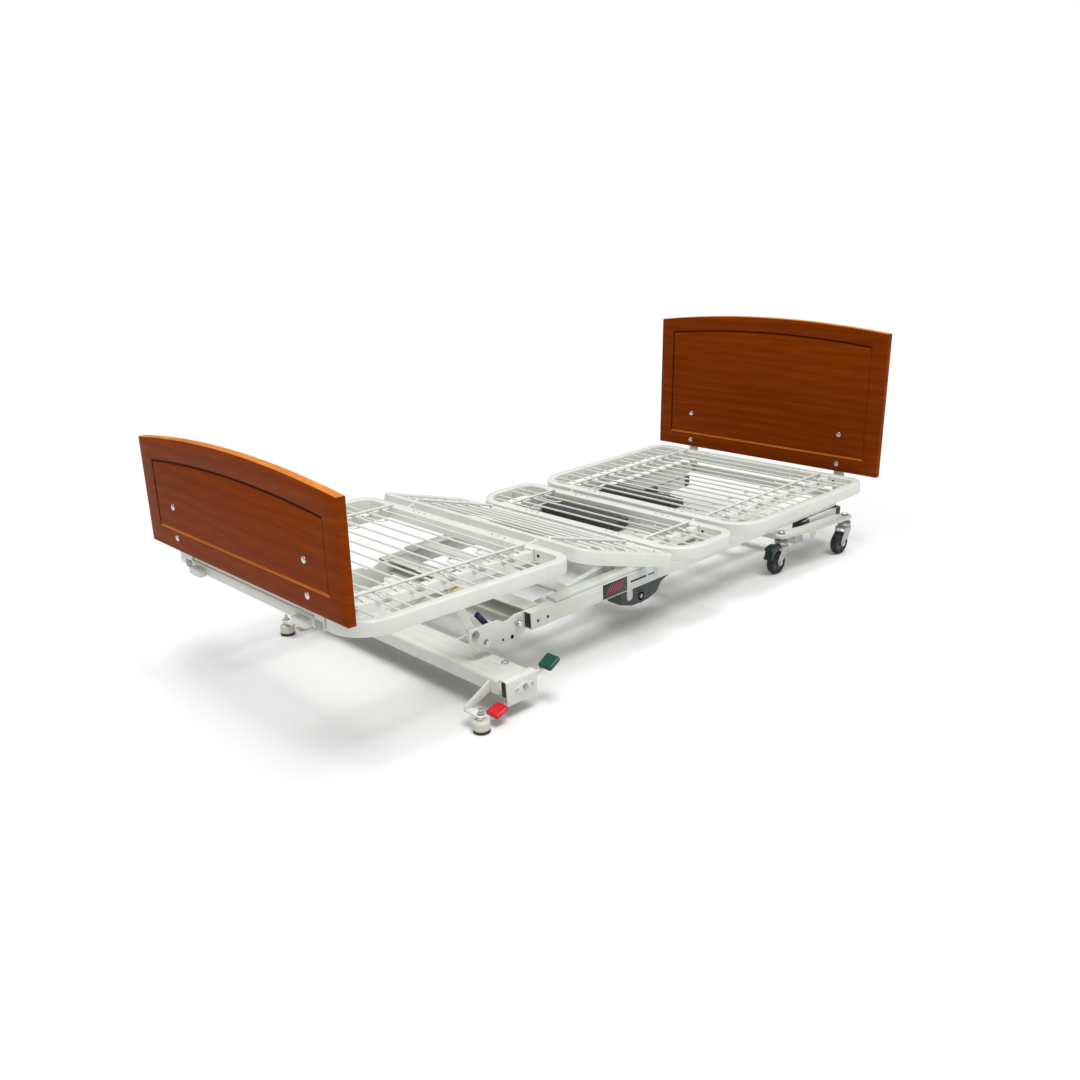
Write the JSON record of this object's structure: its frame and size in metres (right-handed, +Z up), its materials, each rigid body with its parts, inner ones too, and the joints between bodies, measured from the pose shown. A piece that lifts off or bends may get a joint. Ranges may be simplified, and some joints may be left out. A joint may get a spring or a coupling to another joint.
{
  "type": "adjustable hospital bed",
  "caption": "Adjustable hospital bed frame: sprung-wire deck in hinged sections with pull-out wings, hi-lo legs, floor glides, swivel casters and wood-grain end boards.",
  "frame": {"origin": "on the floor under the middle of the bed's overall box", "axes": "+X along the bed towards the headboard, -Y the near long side with the release lever, +Z up"},
  "size_m": [2.1542, 0.976, 0.7625],
  "materials": {
    "paint": "satin powder coat",
    "wood": "satin laminate with wood grain",
    "zinc": "bright zinc plate",
    "dark_plastic": "satin moulded plastic",
    "black_rubber": "matte",
    "wheel_rubber": "matte tread on a dark moulded hub",
    "red_plastic": "semi-gloss",
    "green_plastic": "semi-gloss",
    "cream_plastic": "satin",
    "navy_plastic": "matte grip sleeve",
    "white_plastic": "satin"
  },
  "bodies": {
    "foot_base": {"foot_base_beam": "paint", "glide_near": "white_plastic", "glide_far": "white_plastic", "glide_pad_near": "black_rubber", "glide_pad_far": "black_rubber"},
    "lock_rocker": {"lock_rocker": "zinc", "lock_pedal_red_near": "red_plastic", "lock_pedal_red_far": "red_plastic", "lock_pedal_green_near": "green_plastic", "lock_pedal_green_far": "green_plastic"},
    "foot_leg": {"foot_leg": "paint"},
    "main_frame": {"main_rail_near": "paint", "main_rail_far": "paint", "hinge_bracket_near": "paint", "hinge_bracket_far": "paint", "foot_channel": "paint", "pivot_tube_foot": "paint", "pivot_tube_head": "paint", "lift_motor_foot": "dark_plastic", "lift_motor_head": "dark_plastic", "headboard": "wood", "headboard_bracket": "paint"},
    "head_leg": {"head_leg": "paint"},
    "head_base": {"head_base": "paint", "caster_plate_near": "paint", "caster_plate_far": "paint"},
    "carriage": {"carriage_frame": "paint", "seat_frame": "paint", "knee_actuator": "dark_plastic", "back_actuator": "dark_plastic"},
    "back_section": {"back_frame": "paint"},
    "thigh_section": {"thigh_frame": "paint"},
    "foot_section": {"foot_frame": "paint", "footboard": "wood", "footboard_bracket": "paint"},
    "release_lever": {"release_lever": "navy_plastic"},
    "support_arm_near": {"support_arm_near": "paint"},
    "support_roller_near": {"support_roller_near": "cream_plastic"},
    "support_arm_far": {"support_arm_far": "paint"},
    "support_roller_far": {"support_roller_far": "cream_plastic"},
    "foot_wing_near": {"foot_wing_near": "paint"},
    "foot_wing_far": {"foot_wing_far": "paint"},
    "thigh_wing_near": {"thigh_wing_near": "paint"},
    "thigh_wing_far": {"thigh_wing_far": "paint"},
    "seat_wing_near": {"seat_wing_near": "paint"},
    "seat_wing_far": {"seat_wing_far": "paint"},
    "back_wing_near": {"back_wing_near": "paint"},
    "back_wing_far": {"back_wing_far": "paint"},
    "caster_fork_a_near": {"caster_fork_a_near": "zinc"},
    "caster_wheel_a_near": {"caster_wheel_a_near": "wheel_rubber"},
    "brake_pedal_a_near": {"brake_pedal_a_near": "green_plastic"},
    "caster_fork_b_near": {"caster_fork_b_near": "zinc"},
    "caster_wheel_b_near": {"caster_wheel_b_near": "wheel_rubber"},
    "caster_fork_a_far": {"caster_fork_a_far": "zinc"},
    "caster_wheel_a_far": {"caster_wheel_a_far": "wheel_rubber"},
    "brake_pedal_a_far": {"brake_pedal_a_far": "green_plastic"},
    "caster_fork_b_far": {"caster_fork_b_far": "zinc"},
    "caster_wheel_b_far": {"caster_wheel_b_far": "wheel_rubber"}
  },
  "joints": [
    {"name": "hi_lo_lift", "type": "hinge", "parent": "foot_base", "child": "foot_leg", "pos_m": [-0.51673, 0, 0.092], "axis": [0, -1, 0], "range_deg": [0, 50]},
    {"name": "frame_level", "type": "hinge", "parent": "foot_leg", "child": "main_frame", "pos_m": [0.04327, 0, 0.16], "axis": [0, -1, 0], "range_deg": [-50, 0]},
    {"name": "head_leg_pivot", "type": "hinge", "parent": "main_frame", "child": "head_leg", "pos_m": [0.26827, 0, 0.16], "axis": [0, 1, 0], "range_deg": [0, 50]},
    {"name": "head_base_level", "type": "hinge", "parent": "head_leg", "child": "head_base", "pos_m": [0.82827, 0, 0.092], "axis": [0, 1, 0], "range_deg": [-50, 0]},
    {"name": "carriage_travel", "type": "slide", "parent": "main_frame", "child": "carriage", "axis": [1, 0, 0], "range_m": [0, 0.1135]},
    {"name": "back_lift", "type": "hinge", "parent": "carriage", "child": "back_section", "pos_m": [0.31327, 0, 0.238], "axis": [0, -1, 0], "range_deg": [0, 65]},
    {"name": "thigh_lift", "type": "hinge", "parent": "carriage", "child": "thigh_section", "pos_m": [0.02127, 0, 0.238], "axis": [0, 1, 0], "range_deg": [-16.5, 10]},
    {"name": "foot_section_level", "type": "hinge", "parent": "thigh_section", "child": "foot_section", "pos_m": [-0.36368, 0, 0.34681], "axis": [0, 1, 0], "range_deg": [-10, 16.5]},
    {"name": "lock_rock", "type": "hinge", "parent": "foot_base", "child": "lock_rocker", "pos_m": [-0.58173, 0, 0.074], "axis": [0, 1, 0], "range_deg": [0, 20]},
    {"name": "release_lever_pull", "type": "hinge", "parent": "main_frame", "child": "release_lever", "pos_m": [-0.48473, 0, 0.134], "axis": [0, -1, 0], "range_deg": [0, 15]},
    {"name": "support_arm_fold_near", "type": "hinge", "parent": "main_frame", "child": "support_arm_near", "pos_m": [-0.60873, 0, 0.178], "axis": [0, -1, 0], "range_deg": [-43, 70]},
    {"name": "support_roller_spin_near", "type": "hinge", "parent": "support_arm_near", "child": "support_roller_near", "pos_m": [-0.66473, -0.326, 0.315], "axis": [0, 1, 0], "continuous": true},
    {"name": "support_arm_fold_far", "type": "hinge", "parent": "main_frame", "child": "support_arm_far", "pos_m": [-0.60873, 0, 0.178], "axis": [0, -1, 0], "range_deg": [-43, 70]},
    {"name": "support_roller_spin_far", "type": "hinge", "parent": "support_arm_far", "child": "support_roller_far", "pos_m": [-0.66473, 0.326, 0.315], "axis": [0, 1, 0], "continuous": true},
    {"name": "foot_wing_slide_near", "type": "slide", "parent": "foot_section", "child": "foot_wing_near", "axis": [0, -1, 0], "range_m": [0, 0.076]},
    {"name": "foot_wing_slide_far", "type": "slide", "parent": "foot_section", "child": "foot_wing_far", "axis": [0, 1, 0], "range_m": [0, 0.076]},
    {"name": "thigh_wing_slide_near", "type": "slide", "parent": "thigh_section", "child": "thigh_wing_near", "axis": [0, -1, 0], "range_m": [0, 0.076]},
    {"name": "thigh_wing_slide_far", "type": "slide", "parent": "thigh_section", "child": "thigh_wing_far", "axis": [0, 1, 0], "range_m": [0, 0.076]},
    {"name": "seat_wing_slide_near", "type": "slide", "parent": "carriage", "child": "seat_wing_near", "axis": [0, -1, 0], "range_m": [0, 0.076]},
    {"name": "seat_wing_slide_far", "type": "slide", "parent": "carriage", "child": "seat_wing_far", "axis": [0, 1, 0], "range_m": [0, 0.076]},
    {"name": "back_wing_slide_near", "type": "slide", "parent": "back_section", "child": "back_wing_near", "axis": [0, -1, 0], "range_m": [0, 0.076]},
    {"name": "back_wing_slide_far", "type": "slide", "parent": "back_section", "child": "back_wing_far", "axis": [0, 1, 0], "range_m": [0, 0.076]},
    {"name": "caster_swivel_a_near", "type": "hinge", "parent": "head_base", "child": "caster_fork_a_near", "pos_m": [0.67827, -0.35, 0.1], "axis": [0, 0, 1], "continuous": true},
    {"name": "caster_roll_a_near", "type": "hinge", "parent": "caster_fork_a_near", "child": "caster_wheel_a_near", "pos_m": [0.65227, -0.35, 0.038], "axis": [0, 1, 0], "continuous": true},
    {"name": "brake_press_a_near", "type": "hinge", "parent": "caster_fork_a_near", "child": "brake_pedal_a_near", "pos_m": [0.65527, -0.35, 0.096], "axis": [0, -1, 0], "range_deg": [0, 5]},
    {"name": "caster_swivel_b_near", "type": "hinge", "parent": "head_base", "child": "caster_fork_b_near", "pos_m": [0.97827, -0.398, 0.1], "axis": [0, 0, 1], "continuous": true},
    {"name": "caster_roll_b_near", "type": "hinge", "parent": "caster_fork_b_near", "child": "caster_wheel_b_near", "pos_m": [0.95227, -0.398, 0.038], "axis": [0, 1, 0], "continuous": true},
    {"name": "caster_swivel_a_far", "type": "hinge", "parent": "head_base", "child": "caster_fork_a_far", "pos_m": [0.67827, 0.35, 0.1], "axis": [0, 0, 1], "continuous": true},
    {"name": "caster_roll_a_far", "type": "hinge", "parent": "caster_fork_a_far", "child": "caster_wheel_a_far", "pos_m": [0.65227, 0.35, 0.038], "axis": [0, 1, 0], "continuous": true},
    {"name": "brake_press_a_far", "type": "hinge", "parent": "caster_fork_a_far", "child": "brake_pedal_a_far", "pos_m": [0.65527, 0.35, 0.096], "axis": [0, -1, 0], "range_deg": [0, 5]},
    {"name": "caster_swivel_b_far", "type": "hinge", "parent": "head_base", "child": "caster_fork_b_far", "pos_m": [0.97827, 0.398, 0.1], "axis": [0, 0, 1], "continuous": true},
    {"name": "caster_roll_b_far", "type": "hinge", "parent": "caster_fork_b_far", "child": "caster_wheel_b_far", "pos_m": [0.95227, 0.398, 0.038], "axis": [0, 1, 0], "continuous": true}
  ],
  "couplings": [
    {"joint": "frame_level", "follows": "hi_lo_lift", "ratio": -1},
    {"joint": "head_leg_pivot", "follows": "hi_lo_lift", "ratio": 1},
    {"joint": "head_base_level", "follows": "hi_lo_lift", "ratio": -1},
    {"joint": "carriage_travel", "follows": "back_lift", "m_per_rad": 0.1},
    {"joint": "foot_section_level", "follows": "thigh_lift", "ratio": -1},
    {"joint": "support_arm_fold_near", "follows": "thigh_lift", "ratio": -4.2},
    {"joint": "support_arm_fold_far", "follows": "thigh_lift", "ratio": -4.2}
  ]
}
